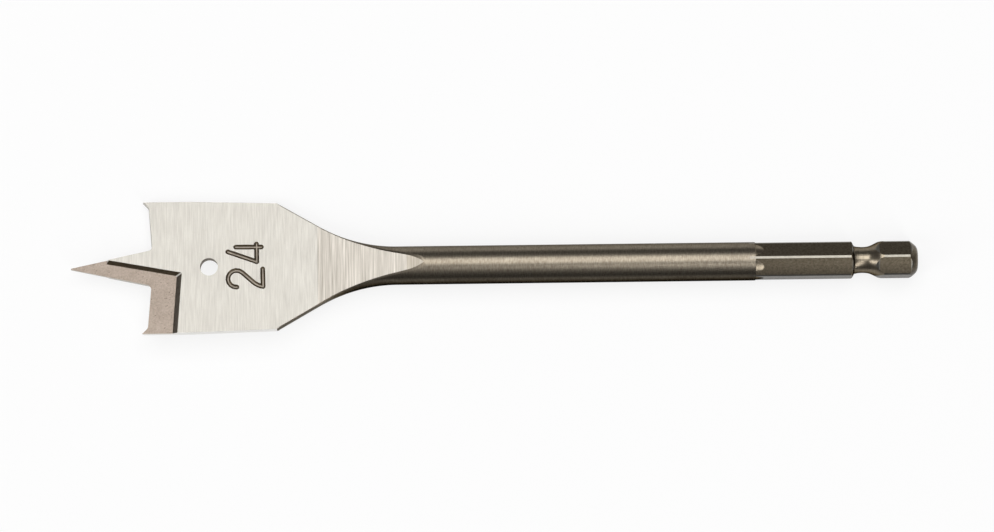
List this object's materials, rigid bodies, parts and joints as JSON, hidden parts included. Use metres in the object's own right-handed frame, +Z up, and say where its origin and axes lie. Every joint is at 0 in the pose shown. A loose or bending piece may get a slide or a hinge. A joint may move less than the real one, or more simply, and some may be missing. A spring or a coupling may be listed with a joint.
{
  "type": "spade drill bit",
  "caption": "Flat wood-boring bit with a centre point, side spurs, ground gullets and a hexagonal quick-change drive on a round shank",
  "frame": {"origin": "on the axis of the bit, at the end face of the hexagonal drive", "axes": "X runs along the axis of the bit from the tip toward the drive end, Z is up as the bit lies at rest on its shank and on one side of its blade, and Y is level across the bit. The blade is rolled 11.4 degrees about X."},
  "size_m": [0.152, 0.0238, 0.0068],
  "materials": {
    "tool_steel": "ground bright across the blade, dark oiled forging finish on the shank and drive"
  },
  "bodies": {
    "root": {"spade_bit": "tool_steel"}
  },
  "joints": []
}
